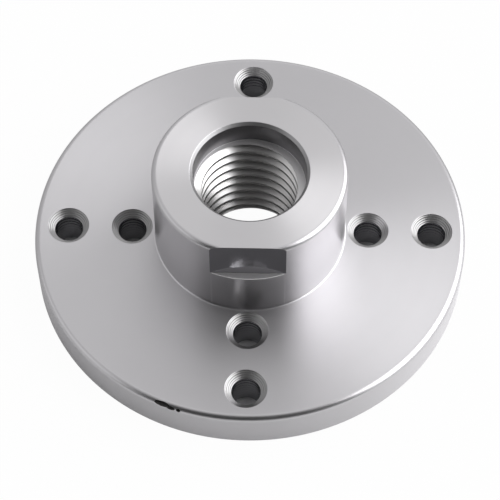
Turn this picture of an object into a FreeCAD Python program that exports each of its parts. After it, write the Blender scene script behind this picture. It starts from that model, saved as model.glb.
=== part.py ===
import FreeCAD, Part
import math
import os

import Sketcher

# Lathe faceplate, turned from one piece of steel.
#
# A round plate carries a short hub. The hub is bored and threaded to screw on
# to the nose of a lathe spindle, with a plain register above the thread, and
# has two milled flats for a spanner. Eight countersunk screw holes in a cross,
# four on an inner and four on an outer circle, hold the work against the
# underside of the plate.
#
# Millimetres. +Z runs along the bore from the work face to the hub's end, and
# the origin is the centre of the work face. The flats face -Y and +Y, and the
# cross of holes lies along X and Y.

NODE = "faceplate"

SIZES = [
    ("plate_diameter", 101.6, "outside of the plate, four inches"),
    ("plate_thickness", 10.5, "plate without the hub"),
    ("rim_chamfer", 0.65, "45 degree chamfer round the top of the rim"),
    ("rim_break", 0.3, "edge broken round the work face"),
    ("hub_diameter", 44.7, "outside of the hub"),
    ("hub_height", 23.9, "hub above the plate"),
    ("hub_round", 1.2, "radius of the rounded edge at the end of the hub"),
    ("hub_root", 0.4, "45 degree fillet that the tool leaves where the hub meets the plate"),
    ("flat_depth", 1.71, "taken off the side of the hub at each spanner flat"),
    ("flats_length", 10.5, "flats from the end of the hub down to their ledge"),
    ("thread_diameter", 25.4, "nominal thread, one inch"),
    ("thread_pitch", 3.175, "eight turns to the inch"),
    ("thread_height", 1.6, "crests inside the nominal thread, on the radius"),
    ("root_clearance", 0.15, "groove cut deeper than nominal, on the radius"),
    ("thread_mouth", 0.2, "mouth chamfer beyond the thread's roots, on the radius"),
    ("register_clearance", 0.3, "register beyond the nominal thread, on the radius"),
    ("register_depth", 5.9, "plain register from the end of the hub"),
    ("register_chamfer", 0.7, "45 degree chamfer at the mouth of the register"),
    ("screw_hole", 6.6, "through each screw hole"),
    ("screw_head", 9.6, "mouth of each countersink"),
    ("head_angle", 90.0, "countersink angle, in degrees"),
    ("inner_margin", 5.5, "from the side of the hub to the middle of an inner screw hole"),
    ("outer_margin", 7.9, "from the middle of an outer screw hole to the rim"),
    ("arms", 4, "arms of the cross, each with two screw holes"),
]

# What follows from those sizes: radii and reaches from the axis, and heights
# above the work face.
DERIVED = [
    ("rim_radius", "plate_diameter / 2", "outside of the plate"),
    ("hub_radius", "hub_diameter / 2", "outside of the hub"),
    ("hub_top", "plate_thickness + hub_height", "end of the hub"),
    ("flat_reach", "hub_radius - flat_depth", "each spanner flat"),
    ("crest_radius", "thread_diameter / 2 - thread_height", "bore left at the crests"),
    ("root_radius", "thread_diameter / 2 + root_clearance", "bottom of the groove"),
    ("register_radius", "thread_diameter / 2 + register_clearance", "plain register"),
    ("register_floor", "hub_top - register_depth", "where the thread ends"),
    ("inner_reach", "hub_radius + inner_margin", "inner screw holes"),
    ("outer_reach", "rim_radius - outer_margin", "outer screw holes"),
]

# The thread has the usual 60 degree form: the flat at its root is an eighth of
# the pitch wide.
FLANK_ANGLE = 30.0
ROOT_FLAT_SHARE = 1.0 / 8.0
# The groove starts this share of a pitch below the work face, on the +X side,
# and it ends as far above the floor of the register.
THREAD_LEAD_SHARE = 0.6
# The cutters reach this far past the surfaces that they break through.
OVERCUT = 0.2
# The bore is cut in this many sectors, so that the thread's crests stay short
# faces, each one level enough to be measured by itself.
BORE_SECTORS = 4
TOLERANCE = 0.001


def make_sheet(doc):
    """Write the sizes, and what follows from them, as named cells of the document's sheet."""
    sheet = doc.addObject("Spreadsheet::Sheet", "Sizes")
    cells = [(name, str(value), meaning) for name, value, meaning in SIZES]
    cells += [(name, f"={formula}", meaning) for name, formula, meaning in DERIVED]
    for row, (name, content, meaning) in enumerate(cells, start=1):
        sheet.set(f"A{row}", name)
        sheet.set(f"B{row}", content)
        sheet.set(f"C{row}", meaning)
        sheet.setAlias(f"B{row}", name)
    doc.recompute()
    return sheet


def origin_part(body, role):
    """The plane or axis of the body's own origin that has this role."""
    for feature in body.Origin.OriginFeatures:
        if feature.Role == role:
            return feature
    raise ValueError(f"no {role} in the origin of {body.Name}")


def new_sketch(body, name, role, height=None):
    """A sketch on one of the body's origin planes, raised by a sheet formula."""
    sketch = body.newObject("Sketcher::SketchObject", name)
    sketch.AttachmentSupport = [(origin_part(body, role), "")]
    sketch.MapMode = "FlatFace"
    if height:
        sketch.setExpression("AttachmentOffset.Base.z", height)
    body.Document.recompute()
    return sketch


def closed_outline(sketch, corners):
    """Lines through the corners, each one joined to the next."""
    points = [FreeCAD.Vector(x, y, 0) for x, y in corners]
    count = len(points)
    for index, start in enumerate(points):
        sketch.addGeometry(Part.LineSegment(start, points[(index + 1) % count]), False)
    for index in range(count):
        after = (index + 1) % count
        sketch.addConstraint(Sketcher.Constraint("Coincident", index, 2, after, 1))


def dimension(sketch, kind, name, formula, *places):
    """A named dimension of the sketch that follows a formula on the sheet."""
    index = sketch.addConstraint(Sketcher.Constraint(kind, *places, 1.0))
    sketch.renameConstraint(index, name)
    sketch.setExpression(f"Constraints.{name}", formula)


def ring_edges(shape, radius, height):
    """Names of the circular edges about the Z axis at this radius and height."""
    names = []
    for number, edge in enumerate(shape.Edges, start=1):
        curve = edge.Curve
        if not isinstance(curve, Part.Circle):
            continue
        centre = curve.Center
        if math.hypot(centre.x, centre.y) > TOLERANCE:
            continue
        if abs(curve.Radius - radius) < TOLERANCE and abs(centre.z - height) < TOLERANCE:
            names.append(f"Edge{number}")
    if not names:
        raise ValueError(f"no ring edge of radius {radius} at height {height}")
    return names


def turn_blank(body, sheet):
    """The turned blank: plate, hub and register as one revolved section."""
    sketch = new_sketch(body, "section", "XZ_Plane")
    rim, plate_top = sheet.rim_radius, sheet.plate_thickness
    hub, hub_top = sheet.hub_radius, sheet.hub_top
    register, floor = sheet.register_radius, sheet.register_floor
    closed_outline(sketch, [(0, 0), (rim, 0), (rim, plate_top), (hub, plate_top), (hub, hub_top),
                            (register, hub_top), (register, floor), (0, floor)])
    for line in (0, 2, 4, 6):
        sketch.addConstraint(Sketcher.Constraint("Horizontal", line))
    for line in (1, 3, 5, 7):
        sketch.addConstraint(Sketcher.Constraint("Vertical", line))
    sketch.addConstraint(Sketcher.Constraint("Coincident", 0, 1, -1, 1))
    dimension(sketch, "DistanceX", "rim_radius", "Sizes.rim_radius", -1, 1, 1, 1)
    dimension(sketch, "DistanceX", "hub_radius", "Sizes.hub_radius", -1, 1, 3, 1)
    dimension(sketch, "DistanceX", "register_radius", "Sizes.register_radius", -1, 1, 5, 1)
    dimension(sketch, "DistanceY", "plate_top", "Sizes.plate_thickness", -1, 1, 2, 1)
    dimension(sketch, "DistanceY", "hub_top", "Sizes.hub_top", -1, 1, 4, 1)
    dimension(sketch, "DistanceY", "register_floor", "Sizes.register_floor", -1, 1, 6, 1)
    blank = body.newObject("PartDesign::Revolution", "blank")
    blank.Profile = sketch
    blank.ReferenceAxis = (sketch, ["V_Axis"])
    blank.Angle = 360
    body.Document.recompute()
    return blank


def bore_through(body, sheet):
    """The plain bore that the thread's crests keep, cut as a ring of sectors."""
    sketch = new_sketch(body, "bore_section", "XZ_Plane")
    radius = sheet.crest_radius
    past_floor = sheet.register_floor + OVERCUT
    closed_outline(sketch, [(0, -OVERCUT), (radius, -OVERCUT),
                            (radius, past_floor), (0, past_floor)])
    for line in (0, 2):
        sketch.addConstraint(Sketcher.Constraint("Horizontal", line))
    for line in (1, 3):
        sketch.addConstraint(Sketcher.Constraint("Vertical", line))
    sketch.addConstraint(Sketcher.Constraint("PointOnObject", 0, 1, -2))
    dimension(sketch, "DistanceX", "crest_radius", "Sizes.crest_radius", -1, 1, 1, 1)
    dimension(sketch, "DistanceY", "below_work_face", f"-{OVERCUT}", -1, 1, 0, 1)
    dimension(sketch, "DistanceY", "past_floor", f"Sizes.register_floor + {OVERCUT}",
              -1, 1, 2, 1)
    sector = body.newObject("PartDesign::Groove", "bore_sector")
    sector.Profile = sketch
    sector.ReferenceAxis = (sketch, ["V_Axis"])
    sector.Angle = 360 / BORE_SECTORS
    sector.Refine = False
    body.Document.recompute()
    ring = body.newObject("PartDesign::PolarPattern", "bore")
    ring.Originals = [sector]
    ring.Axis = (origin_part(body, "Z_Axis"), [""])
    ring.Angle = 360
    ring.Occurrences = BORE_SECTORS
    ring.Refine = False
    body.Tip = ring
    body.Document.recompute()
    return ring


def chamfer_ring(body, name, radius, height, formula):
    """A 45 degree chamfer on the turned edge at this radius and height."""
    base = body.Tip
    chamfer = body.newObject("PartDesign::Chamfer", name)
    chamfer.Base = (base, ring_edges(base.Shape, radius, height))
    chamfer.ChamferType = "Equal distance"
    chamfer.setExpression("Size", formula)
    chamfer.Refine = False
    body.Document.recompute()
    return chamfer


def round_hub_end(body, sheet):
    """The rounded edge at the end of the hub."""
    base = body.Tip
    rounding = body.newObject("PartDesign::Fillet", "hub_end")
    rounding.Base = (base, ring_edges(base.Shape, sheet.hub_radius, sheet.hub_top))
    rounding.setExpression("Radius", "Sizes.hub_round")
    rounding.Refine = False
    body.Document.recompute()
    return rounding


def break_edges(body, sheet):
    """Break the turned edges, which the list holds, and fill the hub's root."""
    edges = [
        chamfer_ring(body, "rim_top", sheet.rim_radius, sheet.plate_thickness,
                     "Sizes.rim_chamfer"),
        chamfer_ring(body, "rim_bottom", sheet.rim_radius, 0, "Sizes.rim_break"),
        round_hub_end(body, sheet),
        chamfer_ring(body, "register_mouth", sheet.register_radius, sheet.hub_top,
                     "Sizes.register_chamfer"),
        chamfer_ring(body, "thread_mouth", sheet.crest_radius, 0,
                     "Sizes.root_radius - Sizes.crest_radius + Sizes.thread_mouth"),
    ]
    chamfer_ring(body, "root_fillet", sheet.hub_radius, sheet.plate_thickness, "Sizes.hub_root")
    return edges


def mill_flats(body, sheet):
    """Two spanner flats, milled into the end of the hub on opposite sides."""
    sketch = new_sketch(body, "flats_outline", "XY_Plane", "Sizes.hub_top")
    half = sheet.flat_reach
    beyond = sheet.hub_radius + OVERCUT
    for index, side in enumerate((-1, 1)):
        corners = [(-beyond, side * half), (beyond, side * half),
                   (beyond, side * beyond), (-beyond, side * beyond)]
        first = 4 * index
        points = [FreeCAD.Vector(x, y, 0) for x, y in corners]
        for line in range(4):
            sketch.addGeometry(Part.LineSegment(points[line], points[(line + 1) % 4]), False)
        for line in range(4):
            after = first + (line + 1) % 4
            sketch.addConstraint(Sketcher.Constraint("Coincident", first + line, 2, after, 1))
            kind = "Horizontal" if line % 2 == 0 else "Vertical"
            sketch.addConstraint(Sketcher.Constraint(kind, first + line))
        word = "front" if side < 0 else "back"
        reach = f"(Sizes.hub_radius + {OVERCUT})"
        sign = "-" if side < 0 else ""
        dimension(sketch, "DistanceX", f"{word}_left", f"-{reach}", -1, 1, first, 1)
        dimension(sketch, "DistanceX", f"{word}_right", reach, -1, 1, first + 1, 1)
        dimension(sketch, "DistanceY", f"{word}_flat", f"{sign}Sizes.flat_reach",
                  -1, 1, first, 1)
        dimension(sketch, "DistanceY", f"{word}_beyond", f"{sign}{reach}", -1, 1, first + 2, 1)
    flats = body.newObject("PartDesign::Pocket", "flats")
    flats.Profile = sketch
    flats.Type = "Length"
    flats.setExpression("Length", "Sizes.flats_length")
    flats.Refine = False
    body.Document.recompute()
    return flats


def drill_screw_holes(body, sheet):
    """Two countersunk holes on one arm, repeated round the cross."""
    sketch = new_sketch(body, "arm", "XY_Plane", "Sizes.plate_thickness")
    for index, reach in enumerate(("inner_reach", "outer_reach")):
        middle = FreeCAD.Vector(getattr(sheet, reach), 0, 0)
        hole = Part.Circle(middle, FreeCAD.Vector(0, 0, 1), sheet.screw_hole / 2)
        sketch.addGeometry(hole, False)
        sketch.addConstraint(Sketcher.Constraint("PointOnObject", index, 3, -1))
        dimension(sketch, "DistanceX", reach, f"Sizes.{reach}", -1, 1, index, 3)
        dimension(sketch, "Radius", f"{reach}_hole", "Sizes.screw_hole / 2", index)
    body.Document.recompute()
    holes = body.newObject("PartDesign::Hole", "screw_holes")
    holes.Profile = sketch
    holes.Refine = False
    body.Document.recompute()
    holes.DepthType = "ThroughAll"
    holes.HoleCutType = "Countersink"
    holes.HoleCutCustomValues = True
    holes.setExpression("Diameter", "Sizes.screw_hole")
    holes.setExpression("HoleCutDiameter", "Sizes.screw_head")
    holes.setExpression("HoleCutCountersinkAngle", "Sizes.head_angle")
    body.Document.recompute()
    cross = body.newObject("PartDesign::PolarPattern", "cross")
    cross.Originals = [holes]
    cross.Axis = (origin_part(body, "Z_Axis"), [""])
    cross.Angle = 360
    cross.setExpression("Occurrences", "Sizes.arms")
    cross.Refine = False
    body.Tip = cross
    body.Document.recompute()
    return cross


def cut_thread(body, sheet):
    """The right-handed groove of the spindle thread, cut along a helix."""
    sketch = new_sketch(body, "thread_tool", "XZ_Plane")
    slope = math.tan(math.radians(FLANK_ANGLE))
    root = sheet.root_radius
    tip = sheet.crest_radius - OVERCUT
    centre = -THREAD_LEAD_SHARE * sheet.thread_pitch
    root_half = ROOT_FLAT_SHARE * sheet.thread_pitch / 2
    mouth_half = root_half + (root - tip) * slope
    closed_outline(sketch, [(tip, centre - mouth_half), (root, centre - root_half),
                            (root, centre + root_half), (tip, centre + mouth_half)])
    sketch.addConstraint(Sketcher.Constraint("Vertical", 1))
    sketch.addConstraint(Sketcher.Constraint("Vertical", 3))
    tip_formula = f"(Sizes.crest_radius - {OVERCUT})"
    lead_formula = f"{THREAD_LEAD_SHARE} * Sizes.thread_pitch"
    half_formula = f"{ROOT_FLAT_SHARE / 2} * Sizes.thread_pitch"
    flank_formula = f"(Sizes.root_radius - {tip_formula}) * tan({FLANK_ANGLE} deg)"
    dimension(sketch, "DistanceX", "root_radius", "Sizes.root_radius", -1, 1, 1, 1)
    dimension(sketch, "DistanceX", "tip_radius", tip_formula, -1, 1, 0, 1)
    dimension(sketch, "DistanceY", "root_low", f"-({lead_formula}) - {half_formula}",
              -1, 1, 1, 1)
    dimension(sketch, "DistanceY", "root_flat", f"2 * {half_formula}", 1, 1, 1, 2)
    dimension(sketch, "DistanceY", "low_flank", flank_formula, 0, 1, 1, 1)
    dimension(sketch, "DistanceY", "high_flank", flank_formula, 1, 2, 3, 1)
    body.Document.recompute()
    thread = body.newObject("PartDesign::SubtractiveHelix", "thread")
    thread.Profile = sketch
    thread.ReferenceAxis = (sketch, ["V_Axis"])
    thread.Mode = "pitch-height-angle"
    thread.LeftHanded = False
    thread.Reversed = False
    thread.Refine = False
    thread.setExpression("Pitch", "Sizes.thread_pitch")
    thread.setExpression("Height", "Sizes.register_floor"
                         f" + 2 * {THREAD_LEAD_SHARE} * Sizes.thread_pitch")
    body.Document.recompute()
    return thread


def build_faceplate(doc, sheet):
    """Turn, bore, round, mill, drill and thread the one piece."""
    body = doc.addObject("PartDesign::Body", NODE)
    body.Label = NODE
    turn_blank(body, sheet)
    bore = bore_through(body, sheet)
    edges = break_edges(body, sheet)
    flats = mill_flats(body, sheet)
    cross = drill_screw_holes(body, sheet)
    thread = cut_thread(body, sheet)
    for cut in (bore, *edges, flats, cross, thread):
        if cut.Shape.Volume > cut.BaseFeature.Shape.Volume - TOLERANCE:
            raise ValueError(f"{cut.Name} cuts nothing")
    return body


def check_document(doc, bodies):
    """Stop if an object failed or a finished shape isn't a sound solid."""
    for item in doc.Objects:
        if "Invalid" in item.State or "Error" in item.State:
            raise ValueError(f"{item.Name} failed: {item.State}")
    for body in bodies:
        shape = body.Shape
        if shape.isNull() or not shape.isValid() or len(shape.Solids) != 1:
            raise ValueError(f"{body.Label} is not one sound solid")


def main():
    """Build the document and write the faceplate's shape."""
    doc = FreeCAD.newDocument("lathe_faceplate")
    sheet = make_sheet(doc)
    body = build_faceplate(doc, sheet)
    doc.recompute()
    check_document(doc, [body])
    os.makedirs("parts", exist_ok=True)
    body.Shape.exportStep(f"parts/{body.Label}.step")
    print(f"{body.Label}: volume {body.Shape.Volume:.1f} mm3, {len(body.Shape.Faces)} faces")


main()
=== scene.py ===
import logging
import math
from collections.abc import Callable, Iterator, Sequence
from contextlib import contextmanager
from dataclasses import dataclass, field
from enum import Enum
from typing import Any

import bpy
from bpy.types import Material, MeshEdge, MeshPolygon, Node, NodeSocket, Object, World
from mathutils import Matrix, Vector


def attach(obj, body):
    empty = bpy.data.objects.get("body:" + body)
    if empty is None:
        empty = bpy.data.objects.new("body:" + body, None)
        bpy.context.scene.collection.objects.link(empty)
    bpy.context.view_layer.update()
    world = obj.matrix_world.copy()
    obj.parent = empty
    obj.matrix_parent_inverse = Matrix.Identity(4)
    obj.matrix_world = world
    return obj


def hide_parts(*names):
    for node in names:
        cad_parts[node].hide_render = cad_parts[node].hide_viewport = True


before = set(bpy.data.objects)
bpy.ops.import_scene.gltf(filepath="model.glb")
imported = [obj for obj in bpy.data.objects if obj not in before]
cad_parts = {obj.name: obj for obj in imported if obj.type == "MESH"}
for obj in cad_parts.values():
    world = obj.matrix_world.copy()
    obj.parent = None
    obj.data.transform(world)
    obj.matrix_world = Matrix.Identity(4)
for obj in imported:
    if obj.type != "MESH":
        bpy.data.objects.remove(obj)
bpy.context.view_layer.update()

# Lathe faceplate: a round steel plate with a short hub, bored and threaded for
# a spindle nose, with two spanner flats and a cross of countersunk holes.
#
# The piece is modelled in millimetres, which suits the size of its edges, and
# it is brought down to metres when it is done. +Z runs along the bore from the
# work face to the end of the hub, the flats face -Y and +Y, and the cross of
# holes lies along X and Y.

LOG = logging.getLogger("faceplate")
NODE = "faceplate"
MM = 0.001
WHOLE_TURN = math.tau
# Points that lie closer than this, in millimetres, are merged.
MERGE = 0.0005
# Places that differ by less than this, in millimetres, are taken as one.
TOUCH = 0.01
# Edges along a rounding, for each millimetre of its size.
SOFT_STEPS_PER_MM = 8
WHITE = (1.0, 1.0, 1.0, 1.0)
# A value at which something begins, and the one at which it is full.
Span = tuple[float, float]


class Element(Enum):
    """What is selected in edit mode, as the three switches of its header."""

    POINTS = (True, False, False)
    EDGES = (False, True, False)
    FACES = (False, False, True)


# Working at the bench: selecting, editing and cutting


def clear() -> None:
    """Leave edit mode and deselect every object."""
    if bpy.context.object and bpy.context.object.mode != "OBJECT":
        bpy.ops.object.mode_set(mode="OBJECT")
    bpy.ops.object.select_all(action="DESELECT")


def hold(piece: Object) -> None:
    """Select this object alone and make it the active one."""
    clear()
    piece.select_set(True)
    bpy.context.view_layer.objects.active = piece


@contextmanager
def editing(piece: Object, element: Element, everything: bool = True) -> Iterator[None]:
    """Stay in edit mode on one piece.

    Args:
        piece: the object to edit.
        element: whether points, edges or faces are worked on.
        everything: select all of the mesh first, or keep what was picked.
    """
    hold(piece)
    bpy.context.tool_settings.mesh_select_mode = element.value
    bpy.ops.object.mode_set(mode="EDIT")
    if everything:
        bpy.ops.mesh.select_all(action="SELECT")
    yield
    bpy.ops.object.mode_set(mode="OBJECT")


def pick(piece: Object, element: Element, wanted: Callable[[Any], bool]) -> int:
    """Select the elements that pass a test and deselect the rest.

    Args:
        piece: the object whose mesh is picked from, in object mode.
        element: the kind of element that the test is given.
        wanted: a test on one point, edge or face.

    Returns:
        How many elements were picked.
    """
    mesh = piece.data
    groups = {Element.POINTS: mesh.vertices, Element.EDGES: mesh.edges,
              Element.FACES: mesh.polygons}
    for group in groups.values():
        group.foreach_set("select", [False] * len(group))
    count = 0
    for item in groups[element]:
        if wanted(item):
            item.select = True
            count += 1
            if element is Element.EDGES:
                for index in item.vertices:
                    mesh.vertices[index].select = True
    return count


def add(name: str, data: Any) -> Object:
    """Put a new object with this mesh or camera in the scene."""
    piece = bpy.data.objects.new(name, data)
    bpy.context.scene.collection.objects.link(piece)
    return piece


def settle(piece: Object) -> None:
    """Put the piece's place, turn and size into its mesh."""
    hold(piece)
    bpy.ops.object.transform_apply(location=True, rotation=True, scale=True)


def finish_modifier(piece: Object, kind: str, **settings: Any) -> None:
    """Add one modifier with these settings and apply it."""
    modifier = piece.modifiers.new(kind.lower(), kind)
    for name, value in settings.items():
        setattr(modifier, name, value)
    hold(piece)
    bpy.ops.object.modifier_apply(modifier=modifier.name)


def cut(piece: Object, tool: Object) -> None:
    """Take the tool's shape out of the piece and put the tool away."""
    finish_modifier(piece, "BOOLEAN", operation="DIFFERENCE", solver="MANIFOLD", object=tool)
    bpy.data.objects.remove(tool)


def close_up(piece: Object) -> None:
    """Merge the points that meet and turn every face outwards."""
    with editing(piece, Element.POINTS):
        bpy.ops.mesh.remove_doubles(threshold=MERGE)
        bpy.ops.mesh.normals_make_consistent(inside=False)


# Turned sections


@dataclass(frozen=True)
class Corner:
    """One corner of a section in the XZ plane, in millimetres.

    Attributes:
        radius: distance from the Z axis.
        height: distance along it.
        soft: how far the corner is rounded back along both of its sides.
    """

    radius: float
    height: float
    soft: float = 0.0


def draw_section(name: str, corners: Sequence[Corner], soft_steps: int = 3) -> Object:
    """Draw a section as an open run of edges, point by point.

    Args:
        name: name of the new object.
        corners: the corners in order.
        soft_steps: edges along each rounded corner, or more where it is large.

    Returns:
        The new object, a chain of edges.
    """
    clear()
    start = corners[0]
    bpy.ops.mesh.primitive_plane_add(size=1.0, location=(start.radius, 0.0, start.height))
    piece = bpy.context.object
    piece.name = name
    with editing(piece, Element.POINTS):
        bpy.ops.mesh.merge(type="CENTER")
        for before, after in zip(corners, corners[1:]):
            step = (after.radius - before.radius, 0.0, after.height - before.height)
            bpy.ops.mesh.extrude_vertices_move(TRANSFORM_OT_translate={"value": step})
    settle(piece)
    for soft in sorted({corner.soft for corner in corners if corner.soft > 0.0}):
        places = [Vector((corner.radius, 0.0, corner.height))
                  for corner in corners if corner.soft == soft]
        pick(piece, Element.POINTS,
             lambda point: any((point.co - place).length < TOUCH for place in places))
        with editing(piece, Element.POINTS, everything=False):
            steps = max(soft_steps, math.ceil(SOFT_STEPS_PER_MM * soft))
            bpy.ops.mesh.bevel(offset=soft, segments=steps, affect="VERTICES")
    return piece


def turn(piece: Object, steps: int) -> None:
    """Spin a section once round the Z axis and close the solid."""
    with editing(piece, Element.POINTS):
        bpy.ops.mesh.spin(steps=steps, angle=WHOLE_TURN, center=(0.0, 0.0, 0.0),
                          axis=(0.0, 0.0, 1.0), use_auto_merge=True)
    close_up(piece)


# The parts of the form


@dataclass(frozen=True)
class Sizes:
    """The driving sizes, which more than one part of the form follows, in millimetres.

    Heights are taken from the work face. The thread's radius is the outside of
    the spindle's own thread. The bore's crests lie inside it, its grooves and
    the register outside it, and the mouth's edge outside the grooves.
    """

    rim_radius: float = 50.8
    plate_top: float = 10.5
    rim_round: float = 1.35
    hub_radius: float = 22.35
    hub_top: float = 34.4
    thread_radius: float = 12.7
    thread_height: float = 1.6
    root_clearance: float = 0.15
    register_clearance: float = 0.3
    mouth_clearance: float = 0.2


SIZES = Sizes()


@dataclass
class TurnedBlank:
    """The plate, the hub and the pocket of the register, in millimetres."""

    rim_break: float = 0.3
    hub_round: float = 1.2
    hub_root: float = 0.4
    register_radius: float = SIZES.thread_radius + SIZES.register_clearance
    register_depth: float = 5.9
    register_chamfer: float = 0.7
    mouth_radius: float = SIZES.thread_radius + SIZES.root_clearance + SIZES.mouth_clearance
    mouth_depth: float = 3.0
    edge_soft: float = 0.12
    steps: int = 384

    @property
    def register_floor(self) -> float:
        """Height of the register's floor, where the thread ends."""
        return SIZES.hub_top - self.register_depth

    def corners(self) -> list[Corner]:
        """The half section, from the axis under the mouth to the axis in the register."""
        soft = self.edge_soft
        return [
            Corner(0.0, self.mouth_depth),
            Corner(self.mouth_radius - self.mouth_depth, self.mouth_depth),
            Corner(self.mouth_radius, 0.0, soft),
            Corner(SIZES.rim_radius - self.rim_break, 0.0, soft),
            Corner(SIZES.rim_radius, self.rim_break, soft),
            Corner(SIZES.rim_radius, SIZES.plate_top, SIZES.rim_round),
            Corner(SIZES.hub_radius, SIZES.plate_top, self.hub_root),
            Corner(SIZES.hub_radius, SIZES.hub_top, self.hub_round),
            Corner(self.register_radius + self.register_chamfer, SIZES.hub_top, soft),
            Corner(self.register_radius, SIZES.hub_top - self.register_chamfer, soft),
            Corner(self.register_radius, self.register_floor, soft),
            Corner(0.0, self.register_floor),
        ]

    def cast(self) -> Object:
        """Turn the blank, the closed solid that the other tools then cut."""
        piece = draw_section("faceplate_body", self.corners())
        turn(piece, self.steps)
        return piece


@dataclass
class SpannerFlats:
    """The two flats milled into the end of the hub, in millimetres.

    Attributes:
        depth: how much each flat takes off the side of the hub.
        length: from the end of the hub down to the ledge.
        cutter: length, width and height of the block that cuts one flat.
        corner_soft: radius that the cutter leaves where flat and ledge meet.
        corner_steps: edges along that radius.
        edge_soft: how far the curved edge of a ledge is broken.
        edge_steps: edges along that break.
        slack: how far an edge may lie off the side of the hub and still be on it.
    """

    depth: float = 1.71
    length: float = 10.5
    cutter: tuple[float, float, float] = (40.0, 4.0, 16.0)
    corner_soft: float = 0.1
    corner_steps: int = 3
    edge_soft: float = 0.12
    edge_steps: int = 2
    slack: float = 0.05

    @property
    def reach(self) -> float:
        """Distance of both flats from the axis."""
        return SIZES.hub_radius - self.depth

    @property
    def ledge(self) -> float:
        """Height of both ledges."""
        return SIZES.hub_top - self.length

    def on_ledge(self, piece: Object, edge: MeshEdge, across: Callable[[Vector], bool]) -> bool:
        """Whether both ends of an edge are level with a ledge and pass a test."""
        ends = [piece.data.vertices[index].co for index in edge.vertices]
        return all(abs(end.z - self.ledge) < TOUCH and across(end) for end in ends)

    def mill(self, piece: Object) -> None:
        """Cut both flats, with the cutter's radius in their corner."""
        _, wide, tall = self.cutter
        for side in (-1.0, 1.0):
            clear()
            bpy.ops.mesh.primitive_cube_add(
                size=1.0,
                location=(0.0, side * (self.reach + wide / 2), self.ledge + tall / 2),
                scale=self.cutter)
            tool = bpy.context.object
            settle(tool)
            pick(tool, Element.EDGES, lambda edge: self.on_ledge(
                tool, edge, lambda end: abs(abs(end.y) - self.reach) < TOUCH))
            with editing(tool, Element.EDGES, everything=False):
                bpy.ops.mesh.bevel(offset=self.corner_soft, segments=self.corner_steps,
                                   affect="EDGES")
            cut(piece, tool)

    def soften(self, piece: Object) -> int:
        """Break the curved edge of both ledges, and return how many edges that took."""
        count = pick(piece, Element.EDGES, lambda edge: self.on_ledge(
            piece, edge, lambda end: abs(end.y) > self.reach + self.edge_soft
            and abs(end.xy.length - SIZES.hub_radius) < self.slack))
        with editing(piece, Element.EDGES, everything=False):
            bpy.ops.mesh.bevel(offset=self.edge_soft, segments=self.edge_steps, affect="EDGES")
        return count


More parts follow.
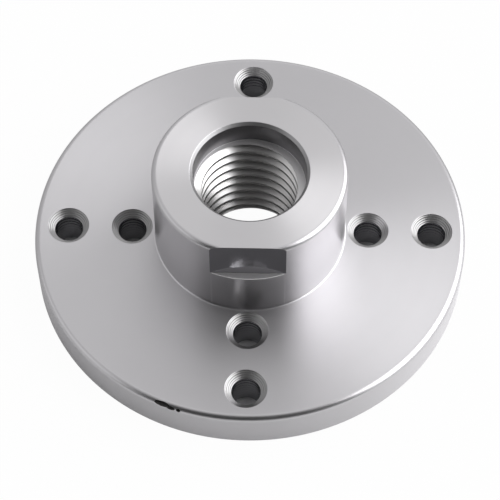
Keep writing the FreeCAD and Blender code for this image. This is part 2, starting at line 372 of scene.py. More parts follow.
@dataclass
class ScrewHoles:
    """The cross of countersunk holes, in millimetres.

    Attributes:
        hole_radius: each through hole.
        head_radius: mouth of each countersink, whose wall slopes at 45 degrees.
        inner_margin: from the side of the hub to the middle of an inner hole.
        outer_margin: from the middle of an outer hole to the rim.
        arms: arms of the cross, each with two holes.
        edge_soft: rounding round the mouth.
        sink_soft: rounding where the countersink runs into the hole.
        exit_break: 45 degree break at the work face.
        exit_soft: rounding of that break.
        ring_spacing: from one ring in the hole's wall to the next.
        ring_depth: their depth.
        sink_rings: how many rings the countersink's wall has.
        sink_ring_depth: their depth.
        points_of_ring: points of the outline for each ring.
        skirt: width of the tool's skirt round the mouth.
        skirt_rise: how far that skirt stays clear of the plate.
        below: how far the tool reaches out of the work face.
        above: how far it reaches over the plate.
        steps: its sides.
    """

    hole_radius: float = 3.3
    head_radius: float = 4.8
    inner_margin: float = 5.5
    outer_margin: float = 7.9
    arms: int = 4
    edge_soft: float = 0.13
    sink_soft: float = 0.1
    exit_break: float = 0.15
    exit_soft: float = 0.05
    ring_spacing: float = 1.05
    ring_depth: float = 0.1
    sink_rings: int = 4
    sink_ring_depth: float = 0.09
    points_of_ring: int = 4
    skirt: float = 0.2
    skirt_rise: float = 0.01
    below: float = 1.0
    above: float = 2.0
    steps: int = 72

    @property
    def reaches(self) -> tuple[float, float]:
        """Distances of the inner and the outer holes from the axis."""
        return SIZES.hub_radius + self.inner_margin, SIZES.rim_radius - self.outer_margin

    def places(self) -> list[tuple[float, float]]:
        """The middle of every hole."""
        return [(reach * round(math.cos(arm * WHOLE_TURN / self.arms)),
                 reach * round(math.sin(arm * WHOLE_TURN / self.arms)))
                for reach in self.reaches for arm in range(self.arms)]

    def sink_bottom(self) -> float:
        """Height at which the countersink runs into the hole."""
        return SIZES.plate_top - (self.head_radius - self.hole_radius)

    def sunk(self, index: int) -> float:
        """How far a point of a ring lies in the metal, as a share of the ring's depth."""
        return 0.5 - 0.5 * math.cos(WHOLE_TURN * index / self.points_of_ring)

    def wall(self) -> list[Corner]:
        """The wall of the hole, with the rings that the drill has left."""
        low, high = self.exit_break, self.sink_bottom()
        points = self.points_of_ring * round((high - low) / self.ring_spacing)
        step = (high - low) / points
        rings = [Corner(self.hole_radius + self.ring_depth * self.sunk(index), low + index * step)
                 for index in range(1, points)]
        return [Corner(self.hole_radius, low, self.exit_soft), *rings,
                Corner(self.hole_radius, high, self.sink_soft)]

    def sink_wall(self) -> list[Corner]:
        """The wall of the countersink, with the rings that its cutter has left."""
        low = self.sink_bottom()
        points = self.points_of_ring * self.sink_rings
        step = (SIZES.plate_top - low) / points
        depth = self.sink_ring_depth / math.sqrt(2.0)
        wall = []
        for index in range(1, points):
            back = depth * self.sunk(index)
            wall.append(Corner(self.hole_radius + index * step + back, low + index * step - back))
        return wall

    def drill(self, piece: Object) -> None:
        """Drill and countersink every hole with copies of one tool."""
        over_plate = SIZES.plate_top + self.above
        corners = [
            Corner(0.0, -self.below),
            Corner(self.hole_radius + self.exit_break + self.below, -self.below),
            *self.wall(),
            *self.sink_wall(),
            Corner(self.head_radius, SIZES.plate_top, self.edge_soft),
            Corner(self.head_radius + self.skirt, SIZES.plate_top + self.skirt_rise),
            Corner(self.head_radius + self.skirt, over_plate),
            Corner(0.0, over_plate),
        ]
        tool = draw_section("countersink", corners)
        turn(tool, self.steps)
        for x, y in self.places():
            copy = add("countersink_copy", tool.data.copy())
            copy.location = (x, y, 0.0)
            settle(copy)
            cut(piece, copy)
        bpy.data.objects.remove(tool)


@dataclass
class SpindleThread:
    """The right-handed thread of the bore, in millimetres.

    Attributes:
        pitch: from one turn to the next.
        crest_radius: bore left at the crests.
        root_radius: bottom of the groove.
        root_share: width of that bottom, as a share of the pitch.
        flank_angle: slope of both flanks, in degrees.
        lead_share: how far under the work face the groove starts, as a share of the pitch.
        turns: turns of the tool.
        steps: steps of one turn.
        crest_soft: rounding of the crests.
        root_soft: rounding of the roots.
        soft_steps: edges along each of these roundings.
        end_reach: how far the ends of the tool reach past its first and last turn.
    """

    pitch: float = 3.175
    crest_radius: float = SIZES.thread_radius - SIZES.thread_height
    root_radius: float = SIZES.thread_radius + SIZES.root_clearance
    root_share: float = 1.0 / 8.0
    flank_angle: float = 30.0
    lead_share: float = 0.6
    turns: int = 11
    steps: int = 160
    crest_soft: float = 0.09
    root_soft: float = 0.12
    soft_steps: int = 2
    end_reach: float = 3.0

    @property
    def groove_height(self) -> float:
        """Height of the middle of the groove where the tool starts."""
        return -self.lead_share * self.pitch

    def corners(self) -> list[Corner]:
        """One pitch of the tool's outline, from the middle of a crest to the next."""
        slope = math.tan(math.radians(self.flank_angle))
        rise = (self.root_radius - self.crest_radius) * slope
        half_root = self.root_share * self.pitch / 2
        half_mouth = half_root + rise
        middle = self.groove_height
        return [
            Corner(self.crest_radius, middle - self.pitch / 2),
            Corner(self.crest_radius, middle - half_mouth, self.crest_soft),
            Corner(self.root_radius, middle - half_root, self.root_soft),
            Corner(self.root_radius, middle + half_root, self.root_soft),
            Corner(self.crest_radius, middle + half_mouth, self.crest_soft),
            Corner(self.crest_radius, middle + self.pitch / 2),
        ]

    def close_end(self, tool: Object, low: bool) -> None:
        """Draw the rim of the tool's low or high end together to a point on its axis."""
        mesh = tool.data
        uses: dict[tuple[int, int], int] = {}
        for face in mesh.polygons:
            for key in face.edge_keys:
                uses[key] = uses.get(key, 0) + 1
        middle = self.groove_height + self.pitch * self.turns / 2
        pick(tool, Element.EDGES, lambda edge: uses.get(tuple(sorted(edge.vertices))) == 1
             and (mesh.vertices[edge.vertices[0]].co.z < middle) == low)
        reach = -self.end_reach if low else self.end_reach
        with editing(tool, Element.EDGES, everything=False):
            bpy.ops.mesh.extrude_region_move(TRANSFORM_OT_translate={"value": (0.0, 0.0, reach)})
            bpy.ops.mesh.merge(type="CENTER")

    def tap(self, piece: Object) -> None:
        """Screw the outline up the bore and cut it out."""
        tool = draw_section("thread_tool", self.corners(), soft_steps=self.soft_steps)
        finish_modifier(tool, "SCREW", axis="Z", angle=WHOLE_TURN, screw_offset=self.pitch,
                        iterations=self.turns, steps=self.steps, render_steps=self.steps,
                        use_merge_vertices=False, use_normal_calculate=True)
        close_up(tool)
        self.close_end(tool, low=True)
        self.close_end(tool, low=False)
        close_up(tool)
        cut(piece, tool)


@dataclass(frozen=True)
class Nick:
    """One knock in the metal, in millimetres and degrees.

    Attributes:
        azimuth: direction from the axis.
        radius: distance of its middle from the axis.
        height: height of its middle.
        size: its half lengths along the rim, towards the axis and up.
        seed: picks its roughness.
    """

    azimuth: float
    radius: float
    height: float
    size: tuple[float, float, float]
    seed: int


@dataclass
class RimDamage:
    """The knocks that the rim has taken, in millimetres.

    Attributes:
        nicks: the knocks.
        fineness: how often the faces of a pebble are divided.
        roughness: how far the points of a pebble are pushed about.
    """

    nicks: tuple[Nick, ...] = (
        Nick(-111.8, 50.4, 9.93, (1.9, 0.66, 0.62), 3),
        Nick(-109.4, 50.52, 9.66, (1.1, 0.55, 0.48), 8),
        Nick(-107.3, 50.56, 9.66, (0.55, 0.45, 0.4), 5),
    )
    fineness: int = 3
    roughness: float = 0.09

    @staticmethod
    def middle(nick: Nick) -> Vector:
        """The middle of one knock."""
        angle = math.radians(nick.azimuth)
        return Vector((nick.radius * math.cos(angle), nick.radius * math.sin(angle), nick.height))

    def knock(self, piece: Object) -> None:
        """Cut every knock with a rough pebble of its own."""
        for nick in self.nicks:
            clear()
            along_rim = math.radians(nick.azimuth + 90.0)
            bpy.ops.mesh.primitive_ico_sphere_add(
                subdivisions=self.fineness, radius=1.0, location=self.middle(nick),
                rotation=(0.0, 0.0, along_rim), scale=nick.size)
            tool = bpy.context.object
            settle(tool)
            with editing(tool, Element.POINTS):
                bpy.ops.transform.vertex_random(offset=self.roughness, seed=nick.seed)
            cut(piece, tool)

    def holds(self, place: Vector) -> bool:
        """Whether a place in the metal is on the wall of a knock."""
        for nick in self.nicks:
            if (place - self.middle(nick)).length < max(nick.size) + 2 * self.roughness:
                side = place.xy.length - (SIZES.rim_radius - SIZES.rim_round)
                rise = place.z - (SIZES.plate_top - SIZES.rim_round)
                edge = math.hypot(max(side, 0.0), max(rise, 0.0))
                return edge < SIZES.rim_round - 2 * TOUCH
        return False


# True normals


@dataclass
class TrueNormals:
    """Gives planes, cylinders and cones the normals that they have in the metal.

    A face of one of these is recognised by its slope, and its corners get the
    true normal. The narrow faces of a rounded edge take over the normals of
    their neighbours where they meet, so that the rounding runs out smoothly.

    Attributes:
        axes: where the axes of the screw holes stand, in millimetres.
        hole_reach: how far round its axis a hole has a say.
        slopes: the upward parts of the normals of walls, 45 degree cones and planes.
        slack: how far a face may be off one of these slopes.
        flat_slack: how far the face of a spanner flat may be off its own.
        blend_angle: the widest turn, in degrees, over which a normal is taken over.
    """

    axes: tuple[tuple[float, float], ...]
    hole_reach: float = 5.2
    slopes: tuple[float, ...] = (0.0, math.sqrt(0.5), 1.0)
    slack: float = 0.002
    flat_slack: float = 1e-6
    blend_angle: float = 32.0

    def axis_of(self, place: Vector) -> Vector:
        """The axis that the surface at this place was turned or drilled about."""
        for x, y in self.axes:
            if math.hypot(place.x - x, place.y - y) < self.hole_reach:
                return Vector((x, y))
        return Vector((0.0, 0.0))

    def slope_of(self, face: MeshPolygon, outward: Vector) -> float | None:
        """The slope of a true face, or nothing for any other face.

        Args:
            face: the face.
            outward: level direction from its axis to its middle.

        Returns:
            The upward part of its normal.
        """
        normal = face.normal
        for slope in self.slopes:
            if abs(abs(normal.z) - slope) < self.slack:
                level = normal.xy.length
                if level < self.slack or abs(abs(normal.xy.dot(outward)) - level) < self.slack:
                    return math.copysign(slope, normal.z)
        return None

    def give(self, piece: Object) -> None:
        """Set the normals of every corner of the mesh."""
        mesh = piece.data
        blend = math.cos(math.radians(self.blend_angle))
        normals = [corner.vector.copy() for corner in mesh.corner_normals]
        known: dict[int, list[Vector]] = {}
        loose = []
        for face in mesh.polygons:
            axis = self.axis_of(face.center)
            outward = (face.center.xy - axis).normalized()
            flat = abs(face.normal.y) > 1.0 - self.flat_slack
            slope = None if flat else self.slope_of(face, outward)
            if slope is None and not flat:
                loose.append(face)
                continue
            for loop in face.loop_indices:
                index = mesh.loops[loop].vertex_index
                if flat:
                    normal = Vector((0.0, math.copysign(1.0, face.normal.y), 0.0))
                else:
                    level = math.sqrt(max(0.0, 1.0 - slope * slope))
                    side = math.copysign(level, face.normal.xy.dot(outward))
                    away = (mesh.vertices[index].co.xy - axis).normalized() * side
                    normal = Vector((away.x, away.y, slope))
                normals[loop] = normal
                known.setdefault(index, []).append(normal)
        for face in loose:
            for loop in face.loop_indices:
                options = known.get(mesh.loops[loop].vertex_index)
                if options:
                    best = max(options, key=lambda option: option.dot(face.normal))
                    if best.dot(face.normal) > blend:
                        normals[loop] = best
        mesh.normals_split_custom_set(normals)


# Finishes


def operator(operation: str, swapped: bool = False) -> Callable[["Value", Any], "Value"]:
    """Make a method that joins two values with one Math node.

    Args:
        operation: what the node does.
        swapped: put the other value first.

    Returns:
        The method, for the class below.
    """
    def join(value: "Value", other: Any) -> "Value":
        """This and the other, joined."""
        pair = (other, value) if swapped else (value, other)
        return value.graph.math(operation, *pair)
    return join


class Value:
    """A socket that takes part in arithmetic by adding Math nodes."""

    __add__ = __radd__ = operator("ADD")
    __mul__ = __rmul__ = operator("MULTIPLY")
    __sub__ = operator("SUBTRACT")
    __rsub__ = operator("SUBTRACT", swapped=True)
    __truediv__ = operator("DIVIDE")
    smaller = operator("MINIMUM")
    larger = operator("MAXIMUM")

    def __init__(self, graph: "Graph", socket: NodeSocket) -> None:
        """Wrap one output socket of the graph."""
        self.graph = graph
        self.socket = socket

    def __abs__(self) -> "Value":
        """The size of this without its sign."""
        return self.graph.math("ABSOLUTE", self)

    def root(self) -> "Value":
        """The square root of this."""
        return self.graph.math("SQRT", self)

    def rise(self, low: float, high: float) -> "Value":
        """Go smoothly from 0 at the first value to 1 at the second."""
        node = self.graph.node("ShaderNodeMapRange",
                               {"Value": self, "From Min": low, "From Max": high},
                               interpolation_type="SMOOTHSTEP")
        return Value(self.graph, node.outputs["Result"])


class Graph:
    """The nodes of one material or world."""

    def __init__(self, owner: Material | World) -> None:
        """Start from an empty tree."""
        owner.use_nodes = True
        self.tree = owner.node_tree
        self.tree.nodes.clear()

    def node(self, kind: str, sockets: dict[Any, Any] | None = None,
             **settings: Any) -> Node:
        """Add one node.

        Args:
            kind: type of the node.
            sockets: for each of its inputs a number, a colour or where its link comes from.
            settings: its properties, which are set first.

        Returns:
            The new node.
        """
        made = self.tree.nodes.new(kind)
        for name, value in settings.items():
            setattr(made, name, value)
        for name, value in (sockets or {}).items():
            if isinstance(value, Value):
                value = value.socket
            elif isinstance(value, Node):
                value = value.outputs[0]
            if isinstance(value, NodeSocket):
                self.tree.links.new(value, made.inputs[name])
            else:
                made.inputs[name].default_value = value
        return made

    def math(self, operation: str, *values: Any) -> Value:
        """Add one Math node on up to three values."""
        made = self.node("ShaderNodeMath", dict(enumerate(values)), operation=operation)
        return Value(self, made.outputs[0])

    def parts(self, vector: NodeSocket) -> tuple[Value, Value, Value]:
        """The three numbers of a vector."""
        made = self.node("ShaderNodeSeparateXYZ", {0: vector})
        x, y, z = (Value(self, output) for output in made.outputs)
        return x, y, z

    def line_noise(self, along: Value, scale: float, detail: float = 2.0) -> Value:
        """Noise that changes along one number only."""
        made = self.node("ShaderNodeTexNoise", {"W": along, "Scale": scale, "Detail": detail},
                         noise_dimensions="1D")
        return Value(self, made.outputs[0])

    def cloud(self, vector: NodeSocket, scale: float, detail: float = 3.0) -> Value:
        """Noise in space."""
        made = self.node("ShaderNodeTexNoise",
                         {"Vector": vector, "Scale": scale, "Detail": detail},
                         noise_dimensions="3D")
        return Value(self, made.outputs[0])

    def seen(self) -> Value:
        """1 for what the lens sees itself, and 0 for all else."""
        return Value(self, self.node("ShaderNodeLightPath").outputs["Is Camera Ray"])

    def emission(self, strength: float) -> Node:
        """A plain white light."""
        return self.node("ShaderNodeEmission", {"Color": WHITE, "Strength": strength})

    def mix(self, share: Value, first: Node, second: Node) -> Node:
        """The first shader, with a share of the second in its place."""
        return self.node("ShaderNodeMixShader", {0: share, 1: first, 2: second})


class Marks(Enum):
    """How the tool marks of a finish run."""

    ROUND_THE_AXIS = "round the axis"
    ROUND_EACH_HOLE = "round each hole"
    ALONG_THE_FLAT = "along the flat"
    NONE = "none"


@dataclass(frozen=True)
class SteelFinish:
    """Bare steel as one tool leaves it.

    Attributes:
        name: name of the material.
        marks: how the tool marks run.
        tint: colour of the metal.
        roughness: mean roughness.
        anisotropy: how much the marks stretch the shine.
        depth: depth of the marks, in millimetres.
        spacing: rough distance between the marks, in millimetres.
        metal: share of the surface that is bare metal.
        foot_shade: painted shade at the foot of the hub, where it meets the plate:
            how much darker the colour is made there.
        foot_shade_rise: heights over which that painted shade grows, in metres.
        cloud_scale: clouds of tone to a metre.
        patch_scale: smaller patches of tone to a metre.
        band_scale: broad bands of tool marks to a millimetre.
        tone: base of the tone, and the weights of clouds, bands and patches in it.
        dullness: base of the roughness, and the weights of clouds and bands in it.
        grain_turn: turn of the stretched shine, so that it lies along the marks.
    """

    name: str
    marks: Marks
    tint: tuple[float, float, float]
    roughness: float
    anisotropy: float = 0.0
    depth: float = 0.0
    spacing: float = 0.6
    metal: float = 1.0
    foot_shade: float = 0.0
    foot_shade_rise: Span = (0.03, 0.01)
    cloud_scale: float = 38.0
    patch_scale: float = 210.0
    band_scale: float = 0.21
    tone: tuple[float, float, float, float] = (0.965, 0.03, 0.02, 0.02)
    dullness: tuple[float, float, float] = (0.86, 0.16, 0.12)
    grain_turn: float = 0.25

    def along(self, graph: Graph, place: NodeSocket) -> Value:
        """The number, in millimetres, that changes from one tool mark to the next."""
        x, y, z = graph.parts(place)
        if self.marks is Marks.ROUND_EACH_HOLE:
            near = abs(x).smaller(abs(y))
            far = abs(x).larger(abs(y))
            inner, outer = (reach * MM for reach in ScrewHoles().reaches)
            gap = abs(far - inner).smaller(abs(far - outer))
            return ((gap * gap + near * near).root() + z) / MM
        if self.marks is Marks.ALONG_THE_FLAT:
            return (z + y) / MM
        return ((x * x + y * y).root() + z) / MM

    def dress(self) -> Material:
        """Make the metal, whose colour, roughness and bump vary as the tool leaves them."""
        material = bpy.data.materials.new(self.name)
        graph = Graph(material)
        place = graph.node("ShaderNodeTexCoord").outputs["Object"]
        clouds = graph.cloud(place, self.cloud_scale)
        patches = graph.cloud(place, self.patch_scale)
        along = self.along(graph, place)
        fine = graph.line_noise(along, 1.0 / self.spacing)
        bands = graph.line_noise(along, self.band_scale)
        base, of_clouds, of_bands, of_patches = self.tone
        shade = base + of_clouds * clouds + of_bands * bands + of_patches * patches
        # Painted shade: the colour grows darker towards the foot of the hub, where it meets the
        # plate.
        if self.foot_shade > 0.0:
            height = graph.parts(place)[2]
            shade = shade * (1.0 - self.foot_shade * height.rise(*self.foot_shade_rise))
        grey = graph.node("ShaderNodeCombineColor", {0: shade, 1: shade, 2: shade})
        colour = graph.node("ShaderNodeMix", {"Factor": 1.0, 6: (*self.tint, 1.0), 7: grey},
                            data_type="RGBA", blend_type="MULTIPLY")
        base, of_clouds, of_bands = self.dullness
        roughness = self.roughness * (base + of_clouds * clouds + of_bands * bands)
        bump = graph.node("ShaderNodeBump",
                          {"Strength": 1.0, "Distance": self.depth * MM, "Height": fine})
        shader = graph.node("ShaderNodeBsdfPrincipled", {
            "Base Color": colour.outputs[2], "Roughness": roughness, "Metallic": self.metal,
            "Anisotropic": self.anisotropy, "Anisotropic Rotation": self.grain_turn,
            "Normal": bump})
        graph.node("ShaderNodeOutputMaterial", {"Surface": shader})
        return material


STEEL = (0.6, 0.59, 0.608)
ROUND = Marks.ROUND_THE_AXIS
HOLES = Marks.ROUND_EACH_HOLE
ALONG = Marks.ALONG_THE_FLAT


class Surface(Enum):
    """The surfaces of the piece, each with the finish that its tool leaves."""

    # Some tints below are painted shade or a painted highlight, as said at each; the rest is the
    # finish of the tool.
    TURNED = SteelFinish("turned_face", ROUND, STEEL, 0.345, anisotropy=0.84)
    HUB_END = SteelFinish("faced_end", ROUND, (0.66, 0.648, 0.664), 0.36, anisotropy=0.84)
    # The side of the hub carries painted shade at its foot.
    HUB_SIDE = SteelFinish("turned_side", ROUND, STEEL, 0.3, anisotropy=0.8, foot_shade=0.16)
    ROUNDED = SteelFinish("rounded_edge", ROUND, STEEL, 0.31, anisotropy=0.65)
    # The bored wall and the mouth are tinted far darker than the steel outside: painted shade
    # inside the register.
    BORED = SteelFinish("bored_wall", ROUND, (0.21, 0.206, 0.215), 0.34, anisotropy=0.5,
                        depth=0.002, spacing=0.3)
    MOUTH = SteelFinish("chamfered_mouth", ROUND, (0.38, 0.376, 0.384), 0.46, anisotropy=0.2)
    FACED = SteelFinish("faced_floor", ROUND, (0.62, 0.61, 0.62), 0.42, anisotropy=0.3,
                        depth=0.008, spacing=0.16)
    THREADED = SteelFinish("threaded_wall", ROUND, (0.64, 0.632, 0.632), 0.28, anisotropy=0.72,
                           depth=0.0015, spacing=0.3)
    # The countersunk and drilled walls are tinted darker than the steel outside: painted shade in
    # the holes.
    COUNTERSUNK = SteelFinish("countersunk_wall", HOLES, (0.4, 0.396, 0.4), 0.3,
                              depth=0.012, spacing=0.32)
    DRILLED = SteelFinish("drilled_wall", HOLES, (0.4, 0.397, 0.415), 0.22, depth=0.01)
    # The flats are tinted darker than the steel outside, which is painted shade.
    MILLED = SteelFinish("milled_flat", ALONG, (0.44, 0.435, 0.46), 0.1,
                         depth=0.004, spacing=0.4)
    LEDGE = SteelFinish("milled_ledge", ALONG, (0.6, 0.59, 0.6), 0.5, depth=0.004, spacing=0.4)
    # The broken edge of each ledge: a real break, given a lighter, mostly non-metallic copy of
    # the steel as a painted highlight.
    BURR = SteelFinish("burr_painted_highlight", Marks.NONE, (0.7, 0.695, 0.7), 0.4, metal=0.2)
    # The walls of the knocks are near black.
    SCALED = SteelFinish("knocked_edge", Marks.NONE, (0.03, 0.028, 0.028), 0.7,
                         depth=0.01, spacing=0.2, metal=0.3)


# The whole piece


@dataclass
class Faceplate:
    """The faceplate: one turned, milled, drilled and tapped piece of steel."""

    blank: TurnedBlank = field(default_factory=TurnedBlank)
    flats: SpannerFlats = field(default_factory=SpannerFlats)
    holes: ScrewHoles = field(default_factory=ScrewHoles)
    thread: SpindleThread = field(default_factory=SpindleThread)
    damage: RimDamage = field(default_factory=RimDamage)
    smooth_angle: float = 32.0
    face_weight: int = 80

    def in_the_bore(self, place: Vector) -> Surface | None:
        """Which surface of the bore has this place, if any."""
        blank = self.blank
        radius = place.xy.length
        if radius < blank.register_radius + TOUCH and place.z < blank.register_floor - TOUCH:
            return Surface.THREADED
        if radius > blank.register_radius + blank.register_chamfer:
            return None
        if not blank.register_floor - TOUCH < place.z < SIZES.hub_top - TOUCH:
            return None
        if place.z < blank.register_floor + TOUCH:
            return Surface.FACED
        wall_top = SIZES.hub_top - blank.register_chamfer
        return Surface.MOUTH if place.z > wall_top - TOUCH else Surface.BORED

    def on_a_flat(self, place: Vector) -> Surface | None:
        """Which surface of a spanner flat has this place, if any."""
        flats = self.flats
        radius = place.xy.length
        if abs(place.y) < flats.reach - TOUCH or radius > SIZES.hub_radius + TOUCH:
            return None
        if abs(place.y) < flats.reach + TOUCH and place.z > flats.ledge:
            return Surface.MILLED
        if abs(place.z - flats.ledge) < TOUCH:
            return Surface.LEDGE
        broken = TOUCH < flats.ledge - place.z < flats.edge_soft + TOUCH
        if broken and radius < SIZES.hub_radius - TOUCH / 2:
            return Surface.BURR
        return None

    def in_a_hole(self, place: Vector) -> Surface | None:
        """Which surface of a screw hole has this place, if any."""
        if place.z > SIZES.plate_top - TOUCH:
            return None
        for x, y in self.holes.places():
            if math.hypot(place.x - x, place.y - y) < self.holes.head_radius + TOUCH:
                sunk = place.z > self.holes.sink_bottom() - TOUCH
                return Surface.COUNTERSUNK if sunk else Surface.DRILLED
        return None

    def outside(self, place: Vector) -> Surface:
        """Which of the turned outer surfaces has this place."""
        blank = self.blank
        radius = place.xy.length
        over_plate = place.z - SIZES.plate_top
        beside_hub = 0.0 < radius - SIZES.hub_radius < blank.hub_root
        if beside_hub and TOUCH < over_plate < blank.hub_root:
            return Surface.ROUNDED
        if radius > SIZES.hub_radius - TOUCH and over_plate > TOUCH:
            return Surface.HUB_SIDE
        on_rim = radius > SIZES.rim_radius - SIZES.rim_round and over_plate > -SIZES.rim_round
        on_hub = (radius > SIZES.hub_radius - blank.hub_round
                  and place.z > SIZES.hub_top - blank.hub_round)
        if on_rim or on_hub:
            return Surface.ROUNDED
        return Surface.HUB_END if place.z > SIZES.hub_top - TOUCH else Surface.TURNED

    def surface_at(self, place: Vector) -> Surface:
        """Which surface has this place, in millimetres."""
        if self.damage.holds(place):
            return Surface.SCALED
        return (self.in_the_bore(place) or self.on_a_flat(place) or self.in_a_hole(place)
                or self.outside(place))

    def dress(self, piece: Object) -> None:
        """Give every face the finish of the tool that made it."""
        surfaces = list(Surface)
        piece.data.materials.clear()
        for surface in surfaces:
            piece.data.materials.append(surface.value.dress())
        for face in piece.data.polygons:
            face.material_index = surfaces.index(self.surface_at(face.center))

    def make(self) -> Object:
        """Model, dress and place the piece.

        Returns:
            The finished object, in metres, riding on the root body.
        """
        piece = self.blank.cast()
        LOG.info("blank turned: %d faces", len(piece.data.polygons))
        self.flats.mill(piece)
        outline = self.flats.soften(piece)
        LOG.info("flats milled: %d edges broken", outline)
        self.holes.drill(piece)
        LOG.info("%d screw holes drilled", len(self.holes.places()))
        self.thread.tap(piece)
        self.damage.knock(piece)
        LOG.info("thread tapped and rim knocked: %d faces", len(piece.data.polygons))
        self.dress(piece)
        hold(piece)
        bpy.ops.object.shade_smooth_by_angle(angle=math.radians(self.smooth_angle))
        finish_modifier(piece, "WEIGHTED_NORMAL", keep_sharp=True, weight=self.face_weight)
        TrueNormals(tuple(self.holes.places())).give(piece)
        piece.scale = (MM, MM, MM)
        settle(piece)
        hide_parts(NODE)
        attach(piece, "root")
        return piece


# The studio


@dataclass(frozen=True)
class SoftBox:
    """A soft box far off, as the metal sees it.

    Attributes:
        direction: where it hangs.
        reach: half of the angle that it fills, in degrees.
        fade: half width of its soft edge, in degrees.
        strength: its brightness, where 1 is white.
    """

    direction: tuple[float, float, float]
    reach: float
    fade: float
    strength: float

    def facing(self, x: Value, y: Value, z: Value) -> Value:
        """How fully a direction meets the box, from 0 to 1."""
        box_x, box_y, box_z = Vector(self.direction).normalized()
        return (box_x * x + box_y * y + box_z * z).rise(
            math.cos(math.radians(self.reach + self.fade)),
            math.cos(math.radians(self.reach - self.fade)))


@dataclass(frozen=True)
class Room:
    """The light round the part, by direction: bright on the right, dark in front.

    Attributes:
        front: tone in front of the part.
        back: tone behind it.
        left: tone on its left.
        back_rise: where the tone behind begins, backwards.
        left_rise: where the left tone begins, leftwards.
        left_depth: where the left tone begins, backwards.
        box_foot: share of its strength that a soft box has at the horizon.
        box_rise: heights over which it gains the rest.
        boxes: the soft boxes.
    """

    front: float = 0.04
    back: float = 0.88
    left: float = 0.58
    back_rise: Span = (-0.48, 0.2)
    left_rise: Span = (0.08, 0.5)
    left_depth: Span = (-0.45, -0.1)
    box_foot: float = 0.4
    box_rise: Span = (0.0, 0.35)
    boxes: tuple[SoftBox, ...] = (
        SoftBox((0.858, 0.06, 0.51), 35.5, 9.0, 3.6),
        SoftBox((-0.93, -0.15, 0.3), 29.0, 8.0, 0.92),
    )

    def light(self) -> None:
        """Light the part with it, and show the lens plain white."""
        world = bpy.data.worlds.new("studio")
        bpy.context.scene.world = world
        graph = Graph(world)
        x, y, z = graph.parts(graph.node("ShaderNodeTexCoord").outputs["Generated"])
        room = self.front + (self.back - self.front) * y.rise(*self.back_rise)
        on_left = (0.0 - x).rise(*self.left_rise) * y.rise(*self.left_depth)
        room = room * (1.0 - on_left) + self.left * on_left
        upwards = self.box_foot + (1.0 - self.box_foot) * z.rise(*self.box_rise)
        for box in self.boxes:
            facing = box.facing(x, y, z)
            room = room * (1.0 - facing) + box.strength * facing * upwards
        seen = graph.seen()
        strength = room * (1.0 - seen) + seen
        light = graph.node("ShaderNodeBackground", {"Color": WHITE, "Strength": strength})
        graph.node("ShaderNodeOutputWorld", {"Surface": light})


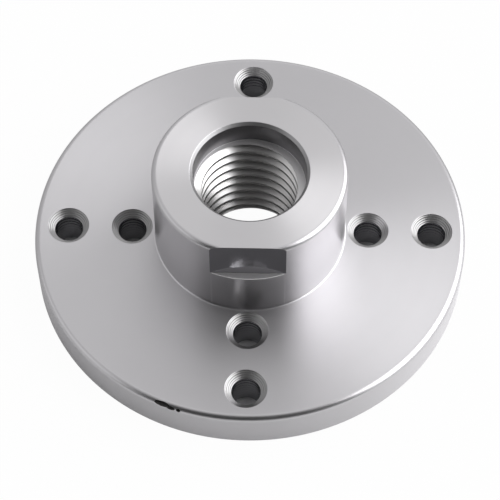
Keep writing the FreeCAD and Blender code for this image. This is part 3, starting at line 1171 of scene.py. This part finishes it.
@dataclass(frozen=True)
class PaleFloor:
    """The paper that the part lies on, in metres.

    The lens sees it nearly white. In the metal it shows painted reflections:
    it glows white close by on the right, and is painted dim further off,
    behind and beside the part on the left.

    Attributes:
        size: length of its sides.
        drop: how far it lies under the part, so that the two don't touch.
        tone: grey of the paper, which shows in the shadow.
        white: share of plain white in what the lens sees.
        bore: distance from the axis within which the bore shows it.
        rim: distance beyond which it lies clear of the part.
        edge: width of the soft edges of both.
        glow: how white it is mirrored on the left, in the middle and on the right.
        glow_reach: distance from the middle at which the outer two are full.
        glow_loss: share of the glow that is lost towards the back.
        glow_back: where that loss begins.
        glow_fade: distances over which the glow dies away.
        dim_tone: tone that is mirrored where the floor is dim.
        dim_share: share of that tone where it is dimmest.
        dim_away: distances over which it grows dim.
        dim_back: where it grows dim towards the back.
        beside: how dim it grows on the left of the part.
        beside_left: where that begins, leftwards.
        beside_back: where that begins, backwards.
    """

    size: float = 6.0
    drop: float = 0.0002
    tone: float = 0.72
    white: float = 0.97
    bore: float = 0.0135
    rim: float = 0.0495
    edge: float = 0.001
    glow: tuple[float, float, float] = (0.08, 0.25, 1.0)
    glow_reach: float = 0.05
    glow_loss: float = 0.8
    glow_back: Span = (-0.01, 0.04)
    glow_fade: Span = (0.06, 0.2)
    dim_tone: float = 0.4
    dim_share: float = 0.75
    dim_away: Span = (0.06, 0.15)
    dim_back: Span = (-0.01, 0.03)
    beside: float = 0.85
    beside_left: Span = (-0.035, -0.055)
    beside_back: Span = (-0.035, -0.005)

    def glow_at(self, x: Value, y: Value, away: Value) -> Value:
        """How white the metal mirrors a place of the floor."""
        left, middle, right = self.glow
        to_middle = (middle - left) * x.rise(-self.glow_reach, 0.0)
        to_right = (right - middle) * x.rise(0.0, self.glow_reach)
        lost = self.glow_loss * y.rise(*self.glow_back)
        return (left + to_middle + to_right) * (1.0 - lost) * (1.0 - away.rise(*self.glow_fade))

    def dim_at(self, x: Value, y: Value, away: Value) -> Value:
        """How dim a place of the floor is in the metal."""
        beside = self.beside * x.rise(*self.beside_left) * y.rise(*self.beside_back)
        return away.rise(*self.dim_away).larger(y.rise(*self.dim_back)).larger(beside)

    def dress(self) -> Material:
        """Make the paper, with tones of its own for the lens and in the metal."""
        material = bpy.data.materials.new("pale_floor")
        graph = Graph(material)
        x, y, _ = graph.parts(graph.node("ShaderNodeTexCoord").outputs["Object"])
        away = (x * x + y * y).root()
        beyond_rim = away.rise(self.rim, self.rim + self.edge)
        in_sight = beyond_rim.larger(away.rise(self.bore, self.bore - self.edge))
        path = graph.node("ShaderNodeLightPath")
        # Painted reflections: for glossy rays the paper is replaced in part by emission, dim in
        # some places and glowing white in others.
        mirrored = Value(graph, path.outputs["Is Glossy Ray"]) * beyond_rim
        paper = graph.node("ShaderNodeBsdfDiffuse", {"Color": (*[self.tone] * 3, 1.0)})
        dim_share = mirrored * self.dim_share * self.dim_at(x, y, away)
        dimmed = graph.mix(dim_share, paper, graph.emission(self.dim_tone))
        shown = self.white * graph.seen() * in_sight
        white_share = shown.larger(mirrored * self.glow_at(x, y, away))
        mixed = graph.mix(white_share, dimmed, graph.emission(1.0))
        graph.node("ShaderNodeOutputMaterial", {"Surface": mixed})
        return material

    def lay(self) -> Object:
        """Lay the floor, which keeps the shadow of the part."""
        clear()
        bpy.ops.mesh.primitive_plane_add(size=self.size, location=(0.0, 0.0, -self.drop))
        floor = bpy.context.object
        floor.name = "floor"
        settle(floor)
        floor.data.materials.append(self.dress())
        return floor


@dataclass
class Studio:
    """The floor, the light and the camera of the photograph.

    Attributes:
        stand: where the camera stands before it is turned, in millimetres.
        elevation: angle that the camera looks down at, in degrees.
        around: how far the camera is turned about the part's axis, in degrees.
        roll: turn of the camera about its own line of sight, in degrees.
        lens: focal length, in millimetres.
        sensor: width of the sensor, in millimetres.
        clip: nearest and furthest distance that the camera sees, in metres.
        floor: the paper under the part.
        room: the light round it.
    """

    stand: tuple[float, float, float] = (-0.014, -254.70, 405.90)
    elevation: float = 57.841
    around: float = 1.397
    roll: float = -0.222
    lens: float = 143.325
    sensor: float = 36.0
    clip: tuple[float, float] = (0.01, 20.0)
    floor: PaleFloor = field(default_factory=PaleFloor)
    room: Room = field(default_factory=Room)

    def set_camera(self) -> Object:
        """Stand the camera where the photograph was taken from."""
        data = bpy.data.cameras.new("camera")
        data.lens = self.lens
        data.sensor_width = self.sensor
        data.clip_start, data.clip_end = self.clip
        camera = add("camera", data)
        about = Matrix.Rotation(math.radians(self.around), 4, "Z")
        tilt = Matrix.Rotation(math.radians(90.0 - self.elevation), 4, "X")
        lean = Matrix.Rotation(math.radians(self.roll), 4, "Z")
        place = Matrix.Translation(Vector(self.stand) * MM)
        camera.matrix_world = about @ place @ tilt @ lean
        bpy.context.scene.camera = camera
        return camera

    def build(self) -> None:
        """Set up the whole studio."""
        self.set_camera()
        self.floor.lay()
        self.room.light()
        bpy.context.scene.view_settings.view_transform = "Standard"
        LOG.info("studio ready")


def main() -> None:
    """Make the faceplate and the studio."""
    logging.basicConfig(level=logging.INFO, format="%(name)s: %(message)s")
    piece = Faceplate().make()
    LOG.info("%s made: %d faces", piece.name, len(piece.data.polygons))
    Studio().build()


if __name__ == "__main__":
    main()
